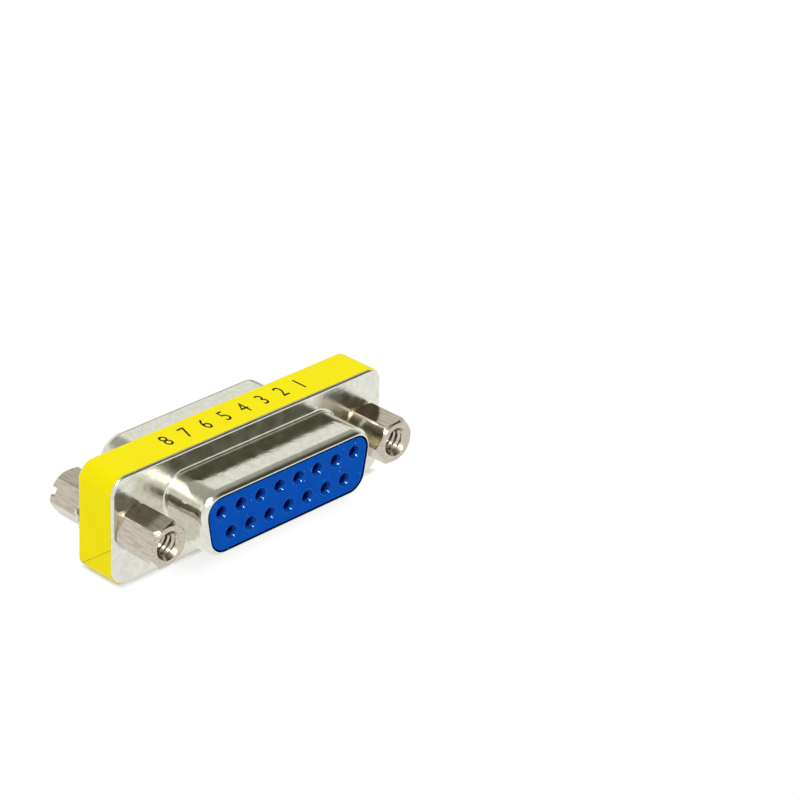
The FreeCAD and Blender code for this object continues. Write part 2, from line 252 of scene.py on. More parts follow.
def bright_nickel_on_drawn_steel(colours):
    """Bright nickel plate on drawn sheet steel. The plate follows the sheet's fine orange peel, so
    reflections are clear but have ragged edges, and pits, specks and faint smudges break them up. The
    die ironed the hood smooth, and the flange keeps the duller face of the rolled sheet."""
    nickel = tuple(colours.nickel)
    material, tree, shader, place = new_material(
        "bright_nickel_on_drawn_steel", Metallic=1.0, Roughness=0.1, Base_Color=nickel)
    soft = add(tree, "TexNoise", {"Vector": place, "Scale": per_metre(1.5), "Detail": 3.0})
    rough = add(tree, "MapRange", {"Value": soft, "From Min": 0.35, "From Max": 0.65,
                                   "To Min": 0.07, "To Max": 0.15})
    flat = add(tree, "MapRange", {"Value": from_middle(tree, place), "From Min": FACE_Y + 0.02 * MM,
                                  "From Max": FACE_Y + 0.4 * MM, "To Min": 0.09, "To Max": 0.0})
    smudge = add(tree, "TexNoise", {"Vector": place, "Scale": per_metre(0.8), "Detail": 5.0,
                                    "Roughness": 0.7})
    tone = add(tree, "MapRange", {"Value": smudge, "From Min": 0.36, "From Max": 0.6})
    plate = add(tree, "Mix", {"Factor": tone, "A": times(nickel, 0.88, 0.88, 0.86), "B": nickel},
                data_type="RGBA")
    sway = add(tree, "TexNoise", {"Vector": place, "Scale": per_metre(3.0), "Detail": 1.0})
    peel = add(tree, "TexNoise", {"Vector": place, "Scale": per_metre(0.5), "Detail": 3.0, "Roughness": 0.6})
    pits = add(tree, "TexVoronoi", {"Vector": place, "Scale": per_metre(0.9), "Randomness": 1.0})
    pit_depth = add(tree, "MapRange", {"Value": pits, "From Min": 0.02, "From Max": 0.12})
    low = add(tree, "Bump", {"Height": sway, "Strength": 0.5, "Distance": 0.06 * MM})
    fine = add(tree, "Bump", {"Height": peel, "Strength": 0.5, "Distance": 0.03 * MM, "Normal": low})
    pitted = add(tree, "Bump", {"Height": pit_depth, "Strength": 0.3, "Distance": 0.006 * MM, "Normal": fine})
    connect(tree, shader, {"Roughness": add(tree, "Math", {0: rough, 1: flat}, operation="ADD"),
                           "Base Color": plate, "Normal": pitted})
    return material


def burnished_cut_edge(colours):
    """Bright nickel plate on the edge that the trimming die sheared and burnished: the shell's
    brightest and smoothest line."""
    material, tree, shader, place = new_material(
        "burnished_cut_edge_nickel", Metallic=1.0, Roughness=0.06, Base_Color=tuple(colours.cut_edge))
    grained(tree, shader, place, 0.4, 2.0, 0.15, 0.01)
    return material


def satin_nickel_on_turned_brass(colours):
    """Nickel plate on free-cutting brass bar. The flats keep the drawn bar's fine lines along the
    axis, and the ends keep the rings of the parting tool, so it is duller than the shells."""
    satin = tuple(colours.satin_nickel)
    material, tree, shader, place = new_material(
        "satin_nickel_on_turned_brass", Metallic=1.0, Roughness=0.14, Base_Color=satin)
    along = add(tree, "Mapping", {"Vector": place, "Scale": (1.0, 0.12, 1.0)})
    lines = add(tree, "TexNoise", {"Vector": along, "Scale": per_metre(0.2), "Detail": 4.0})
    tone = add(tree, "MapRange", {"Value": lines, "From Min": 0.36, "From Max": 0.56})
    plate = add(tree, "Mix", {"Factor": tone, "A": times(satin, 0.78, 0.76, 0.72), "B": satin},
                data_type="RGBA")
    grain = add(tree, "TexNoise", {"Vector": place, "Scale": per_metre(0.4), "Detail": 3.0})
    rough = add(tree, "MapRange", {"Value": grain, "From Min": 0.3, "From Max": 0.7,
                                   "To Min": 0.1, "To Max": 0.18})
    low = add(tree, "Bump", {"Height": lines, "Strength": 0.5, "Distance": 0.015 * MM})
    both = add(tree, "Bump", {"Height": grain, "Strength": 0.12, "Distance": 0.01 * MM, "Normal": low})
    connect(tree, shader, {"Roughness": rough, "Base Color": plate, "Normal": both})
    return material


def gold_flash_on_brass(colours):
    """Thin gold over turned brass: warm, clean and a little soft."""
    material, tree, shader, place = new_material(
        "gold_flash_on_brass", Metallic=1.0, Roughness=0.28, Base_Color=tuple(colours.gold))
    grained(tree, shader, place, 0.15, 2.0, 0.2, 0.006)
    return material


def moulded_polyester(colours, name="moulded_polyester_blue", shade=1.0):
    """Glass-filled polyester from an eroded mould: a deep, dull blue with a faint mottle, and a few
    tiny pale specks where the filler shows in the face."""
    # A shade below 1 darkens the whole blue as painted shade
    blue = times(colours.blue, shade, shade, shade)
    material, tree, shader, place = new_material(
        name, Roughness=0.4, Base_Color=blue, Specular_IOR_Level=0.01)
    mottle = add(tree, "TexNoise", {"Vector": place, "Scale": per_metre(1.6), "Detail": 5.0})
    mixed = add(tree, "Mix", {"Factor": mottle, "A": times(blue, 0.8, 0.82, 0.86),
                              "B": times(blue, 1.2, 1.15, 1.08)}, data_type="RGBA")
    dots = add(tree, "TexVoronoi", {"Vector": place, "Scale": per_metre(0.55), "Randomness": 1.0})
    where = add(tree, "TexNoise", {"Vector": place, "Scale": per_metre(2.4), "Detail": 1.0})
    size = add(tree, "MapRange", {"Value": where, "From Min": 0.46, "From Max": 0.62,
                                  "To Min": 0.0, "To Max": 0.15})
    speck = add(tree, "Math", {0: dots, 1: size}, operation="LESS_THAN")
    pale = add(tree, "Mix", {"Factor": 0.45, "A": mixed, "B": tuple(colours.speck)}, data_type="RGBA")
    dotted = add(tree, "Mix", {"Factor": speck, "A": mixed, "B": pale}, data_type="RGBA")
    connect(tree, shader, {"Base Color": dotted})
    grained(tree, shader, place, 0.16, 3.0, 0.25, 0.012)
    return material


def polished_polyester(colours):
    """Glass-filled polyester where polished core pins shaped it: a clear gloss that catches the lamps
    as small bright dashes, over a blue darkened by painted shade to near black deep in the hole."""
    blue = tuple(colours.blue)
    material, tree, shader, place = new_material(
        "moulded_polyester_core_side", Roughness=0.08, Base_Color=blue, Specular_IOR_Level=0.3,
        Specular_Tint=tuple(colours.glint))
    # Painted shade: the blue turns to the painted hole shade colour with depth in the hole
    lit = add(tree, "MapRange", {"Value": from_middle(tree, place), "From Min": HOOD_Y - 0.85 * MM,
                                 "From Max": HOOD_Y - 0.45 * MM}, interpolation_type="SMOOTHSTEP")
    sunk = add(tree, "Mix", {"Factor": lit, "A": tuple(colours.sunk), "B": blue}, data_type="RGBA")
    connect(tree, shader, {"Base Color": sunk})
    return material


def shaded_joint(colours):
    """Glass-filled polyester on the side of the nose, darkened as painted shade for the narrow joint at the
    mouth.
    """
    return moulded_polyester(colours, "moulded_polyester_painted_joint_shade", shade=0.12)


def printed_film(colours):
    """Self-adhesive polyester film, printed yellow on its underside: even colour, a smooth gloss and
    the slight waviness of film that is pulled over the rims."""
    yellow = tuple(colours.yellow)
    material, tree, shader, place = new_material(
        "printed_film_yellow", Roughness=0.35, Base_Color=yellow, Specular_IOR_Level=0.03)
    tone = add(tree, "TexNoise", {"Vector": place, "Scale": per_metre(5.0), "Detail": 2.0})
    mixed = add(tree, "Mix", {"Factor": tone, "A": times(yellow, 0.97, 0.95, 0.9), "B": yellow},
                data_type="RGBA")
    connect(tree, shader, {"Base Color": mixed})
    grained(tree, shader, place, 2.5, 1.0, 0.15, 0.03)
    return material


def adhesive_line(colours):
    """Painted shadow along the lapped end of the film: a dull, deep ochre line where the lap's edge would
    cast its shadow.
    """
    ochre = times(colours.yellow, 0.35, 0.32, 1.0)
    material, tree, shader, place = new_material("lap_shadow_painted_ochre", Roughness=0.6, Base_Color=ochre)
    shadow_mottle = add(tree, "TexNoise", {"Vector": place, "Scale": per_metre(0.3), "Detail": 2.0})
    mixed = add(tree, "Mix", {"Factor": shadow_mottle, "A": ochre, "B": times(colours.yellow, 0.7, 0.65, 1.0)},
                data_type="RGBA")
    connect(tree, shader, {"Base Color": mixed})
    return material


def printing_ink(colours):
    """Screen-printed ink: near black, with a slightly uneven, duller surface than the film."""
    material, tree, shader, place = new_material(
        "printing_ink_black", Roughness=0.5, Base_Color=tuple(colours.ink), Specular_IOR_Level=0.1)
    grained(tree, shader, place, 0.1, 2.0, 0.1, 0.004)
    return material


# The materials made so far, by their maker's name
MADE = {}


def finish_material(maker, colours):
    """The material that a maker function gives, made once."""
    name = maker.__name__
    if name not in MADE:
        MADE[name] = maker(colours)
    return MADE[name]


# Modelling helpers

# Two heights closer than this are one level
LEVEL = 0.001 * MM


def corner_reach(radius, inner_angle):
    """How far along each side a tangent arc of this radius starts from its corner."""
    return radius / math.tan(inner_angle / 2)


def round_corners(bm, verts, reach, steps):
    """Rounds corners of an outline with arcs that start this far along each side."""
    bmesh.ops.bevel(bm, geom=verts, offset=reach, offset_type="OFFSET", segments=steps, profile=0.5,
                    affect="VERTICES", material=-1)


def d_outline(bm, sizes, outset, height, steps=10):
    """A face with the hood's D outline, wide side up, moved out by outset, in an empty bmesh."""
    half_height = sizes.hood_height / 2 + outset
    radius = sizes.hood_corner + outset
    slope = sizes.hood_slope
    over_round = math.tan(slope) + 1 / math.cos(slope) - 1
    half_top = sizes.hood_width / 2 + outset + radius * over_round
    half_bottom = half_top - 2 * half_height * math.tan(slope)
    corners = [(half_top, half_height), (-half_top, half_height), (-half_bottom, -half_height),
               (half_bottom, -half_height)]
    verts = [bm.verts.new((x, y, height)) for x, y in corners]
    bm.faces.new(verts)
    round_corners(bm, verts[:2], corner_reach(radius, math.pi / 2 - slope), steps)
    low = [v for v in verts[2:] if v.is_valid]
    round_corners(bm, low, corner_reach(radius, math.pi / 2 + slope), steps)
    return next(iter(bm.faces))


def pan_outline(bm, sizes, inset, height, steps=8):
    """A face with the flange's rounded rectangle, moved in by inset, in an empty bmesh."""
    half_x = sizes.flange_length / 2 - inset
    half_y = sizes.flange_height / 2 - inset
    corners = [(half_x, half_y), (-half_x, half_y), (-half_x, -half_y), (half_x, -half_y)]
    verts = [bm.verts.new((x, y, height)) for x, y in corners]
    bm.faces.new(verts)
    round_corners(bm, verts, sizes.flange_corner - inset, steps)
    return next(iter(bm.faces))


def open_up(bm, *faces):
    """Deletes faces and keeps their edges."""
    bmesh.ops.delete(bm, geom=faces, context="FACES_ONLY")


def step_in(bm, face, inward, forward):
    """Insets a face evenly and lifts its middle, which leaves one sloping strip behind it."""
    if inward > 0:
        bmesh.ops.inset_region(bm, faces=[face], thickness=inward, use_even_offset=True,
                               use_boundary=True)
        bmesh.ops.translate(bm, verts=face.verts, vec=(0, 0, forward))
        return face
    lifted = bmesh.ops.extrude_face_region(bm, geom=[face])["geom"]
    top = next(g for g in lifted if isinstance(g, bmesh.types.BMFace))
    bmesh.ops.translate(bm, verts=top.verts, vec=(0, 0, forward))
    if face.is_valid:
        open_up(bm, face)
    return top


def step_along(bm, face, steps):
    """Takes a face through several (inward, forward) steps."""
    for inward, forward in steps:
        face = step_in(bm, face, inward, forward)
    return face


def round_steps(radius, count, convex=True, turn=math.pi / 2):
    """Steps (inward, forward) of a round: convex turns a wall in, hollow turns a face up."""
    steps = []
    for i in range(count):
        a, b = (turn * (i + k) / count for k in (0, 1))
        step = (radius * (math.cos(a) - math.cos(b)), radius * (math.sin(b) - math.sin(a)))
        steps.append(step if convex else step[::-1])
    return steps


def circle(bm, radius, height, centre=(0.0, 0.0), segments=32):
    """A loop of edges with no face."""
    place = Matrix.Translation((*centre, height))
    made = bmesh.ops.create_circle(bm, cap_ends=False, segments=segments, radius=radius, matrix=place)
    return list({e for v in made["verts"] for e in v.link_edges})


def extend(bm, edges, move):
    """Extrudes a loop of edges and places each new vertex where move(old position) says."""
    made = bmesh.ops.extrude_edge_only(bm, edges=edges)["geom"]
    for v in (g for g in made if isinstance(g, bmesh.types.BMVert)):
        v.co = Vector(move(v.co))
    return [g for g in made if isinstance(g, bmesh.types.BMEdge)]


def resized(radius, height, centre=(0.0, 0.0)):
    """A move for extend: onto a circle of this radius at this height."""
    def move(co):
        flat = Vector((co.x - centre[0], co.y - centre[1])).normalized() * radius
        return (centre[0] + flat.x, centre[1] + flat.y, height)
    return move


def open_edges(bm, height, widest=math.inf):
    """The open and loose edges in this plane that lie within this distance of the axis."""
    return [e for e in bm.edges if len(e.link_faces) < 2
            and all(abs(v.co.z - height) < LEVEL and v.co.xy.length < widest for v in e.verts)]


def fill(bm, edges, up=1):
    """Closes loops in one plane with a triangulated face that looks up or down."""
    bmesh.ops.triangle_fill(bm, use_beauty=True, edges=edges, normal=(0, 0, up))


def paint_beside(edges, slot):
    """Gives the faces at these edges a material slot."""
    for face in {face for edge in edges for face in edge.link_faces}:
        face.material_index = slot


def cut(bm, point, normal, clear=False):
    """Cuts a mesh with a plane, and clears what lies beyond where asked."""
    bmesh.ops.bisect_plane(bm, geom=bm.verts[:] + bm.edges[:] + bm.faces[:], plane_co=point,
                           plane_no=normal, clear_outer=clear)


def absorb(bm, other):
    """Adds the geometry of another bmesh, which is then freed."""
    mesh = bpy.data.meshes.new("part_skin")
    other.to_mesh(mesh)
    other.free()
    bm.from_mesh(mesh)
    bpy.data.meshes.remove(mesh)


def new_object(bm, name):
    """An object of its own for a bmesh, which is then freed."""
    mesh = bpy.data.meshes.new(name)
    bm.to_mesh(mesh)
    bm.free()
    item = bpy.data.objects.new(name, mesh)
    bpy.context.scene.collection.objects.link(item)
    return item


def evaluated_mesh(item):
    """A new mesh of what an object's modifiers or its text make."""
    bpy.context.view_layer.update()
    return bpy.data.meshes.new_from_object(item.evaluated_get(bpy.context.evaluated_depsgraph_get()))


def stand_up(bm, rear=False):
    """Turns a lying model so that its front looks to -Y, or to +Y and upside down for the rear."""
    turn = Matrix.Rotation(math.pi / 2, 4, "X")
    if rear:
        turn = Matrix.Rotation(math.pi, 4, "X") @ turn
    bm.transform(Matrix.Translation((0, 0, CENTRE_Z)) @ turn)


def finished(bm, name, makers, slot, *nodes, crease=35, merge=0.0005 * MM):
    """Makes the object of a finished bmesh with its materials, which rides on the body and stands
    for the nodes."""
    bmesh.ops.remove_doubles(bm, verts=bm.verts, dist=merge)
    loose = [v for v in bm.verts if not v.link_faces]
    bmesh.ops.delete(bm, geom=loose, context="VERTS")
    bmesh.ops.recalc_face_normals(bm, faces=bm.faces)
    piece = new_object(bm, name)
    piece.data.shade_smooth()
    piece.data.set_sharp_from_angle(angle=math.radians(crease))
    for maker in makers:
        piece.data.materials.append(finish_material(maker, bpy.context.scene.dsub_colours))
    weighted = piece.modifiers.new("even_shading", "WEIGHTED_NORMAL")
    weighted.keep_sharp = True
    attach(piece, BODY)
    if nodes:
        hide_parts(*nodes)


# Shells and insulators

# Steps along the rim's bend, the root fillet, the hood's wall and its lip
BEND_STEPS, ROOT_STEPS, WALL_STEPS, LIP_STEPS = 5, 6, 4, 10
# Steps along the insulator's shoulder, and round the edge of its face
SHOULDER_STEPS, FACE_STEPS = 4, 3
# Segments round the shell's screw holes, the contact holes and the threads
ROUND_SEGMENTS = 48
# Material slot of the cut edge round a shell's mouth, after the plate at 0
CUT_EDGE = 1
# Material slots of an insulator, after the face at 0; the joint slot is painted shade on the nose's sides
CORE_SIDE = 1
PAINTED_JOINT_SHADE = 2
# Round at the mouths of the contact holes
HOLE_ROUND = 0.05 * MM


def turn_for_inset(radius, inset):
    """How far a round of this radius turns before it lies this far inside its wall."""
    return math.acos(1 - inset / radius)


def mouth_inset(sizes):
    """How far the hood's mouth lies inside the hood's outline."""
    return sizes.hood_lip * (1 - math.cos(sizes.lip_turn))


def lip_start(sizes):
    """The height at which the hood's wall starts to roll in."""
    return HOOD_Y - sizes.hood_lip * math.sin(sizes.lip_turn)


def screw_holes(bm, sizes, height, segments=32):
    """The loops of both screw holes in this plane."""
    return [e for side in (-1, 1)
            for e in circle(bm, sizes.screw_hole / 2, height, (side * JACK_X, 0), segments)]


def bridge_sides(bm, edges):
    """Joins the two loops on the left of the middle, and the two on its right."""
    for side in (-1, 1):
        bmesh.ops.bridge_loops(bm, edges=[e for e in edges if e.verts[0].co.x * side > 0])


def shell_skin(bm, sizes, depth):
    """One skin of the sheet, this deep below its outside: pan wall, flange, root fillet, hood, lip.
    Returns the heights of its flange and of its mouth."""
    face_height = FACE_Y - depth
    bend = 0 if depth else sizes.rim_bend
    skin = bmesh.new()
    face = pan_outline(skin, sizes, depth, sizes.seam)
    face = step_in(skin, face, 0, face_height - bend - sizes.seam)
    open_up(skin, step_along(skin, face, round_steps(bend, BEND_STEPS if bend else 0)))

    hood = bmesh.new()
    root = sizes.hood_root + depth
    lip = sizes.hood_lip - depth
    edge = 0 if depth else sizes.mouth_edge
    turn = turn_for_inset(lip, mouth_inset(sizes) - depth - edge)
    wall = lip_start(sizes) - face_height - root
    face = step_along(hood, d_outline(hood, sizes, sizes.hood_root, face_height),
                      round_steps(root, ROOT_STEPS, convex=False) + [(0, wall / WALL_STEPS)] * WALL_STEPS
                      + round_steps(lip, LIP_STEPS, turn=turn))
    if edge:
        face = step_in(hood, face, edge, 0)
        paint_beside(face.edges, CUT_EDGE)
    mouth_height = face.verts[0].co.z
    open_up(hood, face)
    absorb(skin, hood)

    screw_holes(skin, sizes, face_height, ROUND_SEGMENTS)
    fill(skin, open_edges(skin, face_height))
    absorb(bm, skin)
    return face_height, mouth_height


def shell_body(sizes):
    """The whole sheet: an outer and an inner skin, joined at the seam, the mouth and the screw holes."""
    bm = bmesh.new()
    outer, outer_mouth = shell_skin(bm, sizes, 0.0)
    inner, inner_mouth = shell_skin(bm, sizes, sizes.sheet)
    bmesh.ops.bridge_loops(bm, edges=open_edges(bm, outer_mouth) + open_edges(bm, inner_mouth))
    bmesh.ops.bridge_loops(bm, edges=open_edges(bm, sizes.seam))
    bridge_sides(bm, open_edges(bm, outer) + open_edges(bm, inner))
    return bm


class DSUB_OT_shells(bpy.types.Operator):
    """Builds the front and the rear shell"""

    bl_idname = "dsub.shells"
    bl_label = "Build Shells"

    def execute(self, context):
        for name, rear in (("front_shell", False), ("rear_shell", True)):
            bm = shell_body(context.scene.dsub_shell)
            stand_up(bm, rear)
            finished(bm, name + "_plated", (bright_nickel_on_drawn_steel, burnished_cut_edge),
                     "shell_nickel", name, crease=40)
        return {"FINISHED"}


def contact_centres(mould):
    """Where the holes are on the lying face: the longer row at the top, the shorter below it."""
    centres = []
    for count, side in ((mould.long_row, 1), (mould.long_row - 1, -1)):
        for i in range(count):
            centres.append((((count - 1) / 2 - i) * mould.pitch, side * mould.row_spacing / 2))
    return centres


def hole_profile(mould, face_height):
    """The contact hole as (radius, height) from its rounded mouth down the lead-in cone to the back."""
    mouth = mould.funnel_mouth / 2
    pin = mould.pin_hole / 2
    lean = (mouth - pin) / mould.funnel_depth
    cone_end = face_height - mould.funnel_depth
    lip = HOLE_ROUND
    profile = [(mouth + lip * 0.3, face_height - lip * 0.35)]
    for depth in (lip, 1.3 * lip, mould.funnel_depth - 1.3 * lip, mould.funnel_depth - lip):
        profile.append((mouth - lean * depth, face_height - depth))
    profile += [(pin, cone_end - lip), (pin, cone_end - 1.5 * lip), (pin, face_height - mould.seat),
                (mould.cavity / 2, face_height - mould.seat), (mould.cavity / 2, mould.back)]
    return profile


def insulator_block(sizes, mould):
    """The moulded block: plate inside the pan, trunk inside the hood, nose in its mouth, 15 holes."""
    plate_front = FACE_Y - sizes.sheet
    shoulder_round = sizes.hood_lip - sizes.sheet
    nose_inset = mouth_inset(sizes) + mould.nose_gap - sizes.sheet - mould.clearance
    face_height = HOOD_Y - mould.recess
    bm = bmesh.new()
    face = pan_outline(bm, sizes, sizes.sheet + mould.clearance, mould.back)
    open_up(bm, step_in(bm, face, 0, plate_front - mould.back))

    trunk = bmesh.new()
    face = d_outline(trunk, sizes, -sizes.sheet - mould.clearance, plate_front)
    face = step_in(trunk, face, 0, lip_start(sizes) - mould.clearance - plate_front)
    turn = turn_for_inset(shoulder_round, nose_inset)
    face = step_along(trunk, face, round_steps(shoulder_round, SHOULDER_STEPS, turn=turn))
    face = step_in(trunk, face, 0, face_height - mould.face_edge - face.verts[0].co.z)
    # The nose's sides get the joint's painted shade; the face stays plain blue
    paint_beside(trunk.edges, PAINTED_JOINT_SHADE)
    face.material_index = 0
    open_up(trunk, step_along(trunk, face, round_steps(mould.face_edge, FACE_STEPS)))
    absorb(bm, trunk)

    step_holes = screw_holes(bm, sizes, plate_front)
    fill(bm, open_edges(bm, plate_front))
    bridge_sides(bm, step_holes + screw_holes(bm, sizes, mould.back))

    for centre in contact_centres(mould):
        loop = circle(bm, mould.funnel_mouth / 2 + HOLE_ROUND, face_height, centre, ROUND_SEGMENTS)
        for radius, height in hole_profile(mould, face_height):
            loop = extend(bm, loop, resized(radius, height, centre))
            paint_beside(loop, CORE_SIDE)
    fill(bm, open_edges(bm, face_height))
    fill(bm, open_edges(bm, mould.back), -1)
    return bm


class DSUB_OT_insulators(bpy.types.Operator):
    """Builds the front and the rear insulator"""

    bl_idname = "dsub.insulators"
    bl_label = "Build Insulators"

    def execute(self, context):
        for name, rear in (("front_insulator", False), ("rear_insulator", True)):
            bm = insulator_block(context.scene.dsub_shell, context.scene.dsub_mould)
            stand_up(bm, rear)
            finished(bm, name + "_moulded", (moulded_polyester, polished_polyester, shaded_joint),
                     "insulator_blue", name, crease=40)
        return {"FINISHED"}


# Jacks

# Arc steps at each corner of the hexagon, and cuts across each flat
HEX_STEPS, FLAT_CUTS = 3, 14
# Clearance round a screw's shank and under its end
SHANK_FIT = 0.02 * MM
# How far below the end face the thread's cone is trimmed, and how far outside it the end face starts
CONE_TRIM = 0.04 * MM
CONE_LAND = 0.03 * MM
# The screw's blind hole is this much wider than its thread, reaches this far past it, and the thread
# starts this far below the driving slot
RELIEF, DRILL_PAST, SLOT_CLEAR = 0.01 * MM, 0.3 * MM, 0.03 * MM
# Length and depth of the taper at a shank's end
SHANK_POINT = 0.2 * MM
# Points of one thread turn closer than this are merged
THREAD_MERGE = 0.0008 * MM
# The thread from its crest (0) to its root (1), over one pitch
THREAD_PROFILE = ((0, 0.0), (0, 0.10), (0.5, 0.27), (1, 0.44), (1, 0.56), (0.5, 0.73), (0, 0.90), (0, 1.0))
# Under the screw's head, above the washer
SCREW_BASE_Y = FACE_Y + 0.5 * MM


def hex_skin(bm, jack, base, tip, turn):
    """The outside of a hex piece from its base to its tip. Returns the loops at both end faces."""
    across = jack.flats / 2 / math.cos(math.pi / 6)
    face_radius = jack.flats / 2 - jack.chamfer
    first_corner_on_x = -math.pi / 2
    made = bmesh.ops.create_circle(bm, cap_ends=True, segments=6, radius=across,
                                   matrix=Matrix.Rotation(turn + first_corner_on_x, 4, "Z"))
    round_corners(bm, made["verts"], jack.edge, HEX_STEPS)
    open_up(bm, *bm.faces)
    flats = [e for e in bm.edges if e.calc_length() > across / 2]
    bmesh.ops.subdivide_edges(bm, edges=flats, cuts=FLAT_CUTS)
    ring = bm.edges[:]
    slope = math.tan(jack.chamfer_angle)
    middle = (base + tip) / 2
    bmesh.ops.translate(bm, verts=bm.verts[:], vec=(0, 0, middle))
    ends = []
    for end in (base, tip):
        rise = math.copysign(slope, middle - end)
        shoulder = extend(bm, ring, lambda co: (co.x, co.y, end + rise * (co.xy.length - face_radius)))
        ends.append(extend(bm, shoulder, resized(face_radius, end)))
    return ends


def threaded_wall(jack, bottom, tip):
    """A real internal thread from bottom up to the countersink's cone, as a bmesh of its own."""
    bm = bmesh.new()
    crest = jack.minor / 2
    root = jack.major / 2
    pitch = jack.pitch
    start = bottom - 1.5 * pitch
    verts = [bm.verts.new((crest + out * (root - crest), 0, start + share * pitch))
             for out, share in THREAD_PROFILE]
    edges = [bm.edges.new(pair) for pair in zip(verts, verts[1:])]
    turns = math.ceil((tip - start) / pitch) + 1
    bmesh.ops.spin(bm, geom=verts + edges, cent=(0, 0, 0), axis=(0, 0, 1),
                   dvec=(0, 0, pitch / ROUND_SEGMENTS), angle=2 * math.pi * turns,
                   steps=ROUND_SEGMENTS * turns, use_duplicate=False)
    bmesh.ops.remove_doubles(bm, verts=bm.verts, dist=THREAD_MERGE)
    mouth = jack.countersink / 2
    lean = (mouth - crest) / jack.countersink_depth
    for v in bm.verts:
        cone = mouth - lean * (tip - v.co.z)
        radius = max(v.co.xy.length, min(cone, mouth))
        v.co.xy = v.co.xy.normalized() * radius
    cut(bm, (0, 0, tip - CONE_TRIM), (0, 0, 1), clear=True)
    cut(bm, (0, 0, bottom), (0, 0, -1), clear=True)
    return bm


def nut_body(jack, turn):
    """The plain hex nut: turned ends, countersunk thread, counterbore for the screw's shank."""
    base = FACE_Y
    tip = -NUT_LOW.y
    mouth = jack.countersink / 2
    seat = base + jack.engagement + SHANK_FIT
    bore = jack.shank / 2 + SHANK_FIT
    bm = bmesh.new()
    base_loop, tip_loop = hex_skin(bm, jack, base, tip, turn)
    absorb(bm, threaded_wall(jack, seat, tip))
    inner = extend(bm, tip_loop, resized(mouth + CONE_LAND, tip))
    bmesh.ops.bridge_loops(bm, edges=inner + open_edges(bm, tip - CONE_TRIM, mouth + CONE_LAND / 2))
    hole = extend(bm, base_loop, resized(bore, base))
    hole = extend(bm, hole, resized(bore, seat))
    bmesh.ops.bridge_loops(bm, edges=hole + open_edges(bm, seat, bore - SHANK_FIT))
    return bm


def screw_body(jack, turn, slot_turn):
    """The slotted hex screw: turned ends, blind countersunk thread, driving slot and plain shank."""
    base = SCREW_BASE_Y
    tip = SCREW_END
    mouth = jack.countersink / 2
    bm = bmesh.new()
    base_loop, tip_loop = hex_skin(bm, jack, base, tip, turn)
    relief = jack.major / 2 + RELIEF
    below_slot = tip - jack.slot_depth - SLOT_CLEAR
    lean = (mouth - jack.minor / 2) / jack.countersink_depth
    shank = jack.shank / 2
    end = -FACE_Y - jack.engagement
    blind = ((mouth, tip), (relief, tip - (mouth - relief) / lean), (relief, below_slot),
             (relief, tip - jack.tap_depth - DRILL_PAST))
    pin = ((shank, base), (shank, end + SHANK_POINT), (shank - SHANK_POINT, end))
    for loop, profile in ((tip_loop, blind), (base_loop, pin)):
        for radius, height in profile:
            loop = extend(bm, loop, resized(radius, height))
        bmesh.ops.contextual_create(bm, geom=loop)
    bmesh.ops.recalc_face_normals(bm, faces=bm.faces)
    blade = bmesh.new()
    place = Matrix.Translation((0, 0, tip)) @ Matrix.Rotation(slot_turn, 4, "Z")
    bmesh.ops.create_cube(blade, size=1.0, matrix=place @ Matrix.Diagonal(
        (3 * jack.flats, jack.slot_width, 2 * jack.slot_depth, 1)))
    blank = new_object(bm, "screw_blank")
    cutter = new_object(blade, "slot_blade")
    milling = blank.modifiers.new("milling", "BOOLEAN")
    milling.operation = "DIFFERENCE"
    milling.solver = "EXACT"
    milling.object = cutter
    milled = evaluated_mesh(blank)
    bm = threaded_wall(jack, tip - jack.tap_depth, below_slot)
    bm.from_mesh(milled)
    for mesh in (blank.data, cutter.data, milled):
        bpy.data.meshes.remove(mesh)
    return bm


class DSUB_OT_jacks(bpy.types.Operator):
    """Builds the two plain hex nuts and the two slotted hex screws"""

    bl_idname = "dsub.jacks"
    bl_label = "Build Jacks"

    def execute(self, context):
        jack = context.scene.dsub_jack
        # The turns at which each was left when it was tightened
        pieces = (("nut_left", -1, nut_body(jack, math.radians(10)), False),
                  ("nut_right", 1, nut_body(jack, math.radians(4)), False),
                  ("screw_left", -1, screw_body(jack, math.radians(-5), math.radians(-160)), True),
                  ("screw_right", 1, screw_body(jack, math.radians(-18), math.radians(-78)), True))
        for name, side, bm, rear in pieces:
            bmesh.ops.translate(bm, verts=bm.verts, vec=(side * JACK_X, 0, 0))
            stand_up(bm, rear)
            finished(bm, f"jack_{name}_turned", (satin_nickel_on_turned_brass,), "jack_nickel",
                     f"jack_{name}", crease=28)
        return {"FINISHED"}


# Label

PRINT_THICK = 0.01 * MM
LAP_TAPER = 2.0 * MM
LAP_LINE = 0.08 * MM
# Material slot of the painted shadow line along the lapped end
PAINTED_LAP_SHADOW = 1
# The numbers are narrower than the font's own
NARROW = 0.72
NUMBER_CURVE_STEPS = 6
# Half of a number's thickness of 1, before it is scaled down to PRINT_THICK
HALF_THICK = 0.5


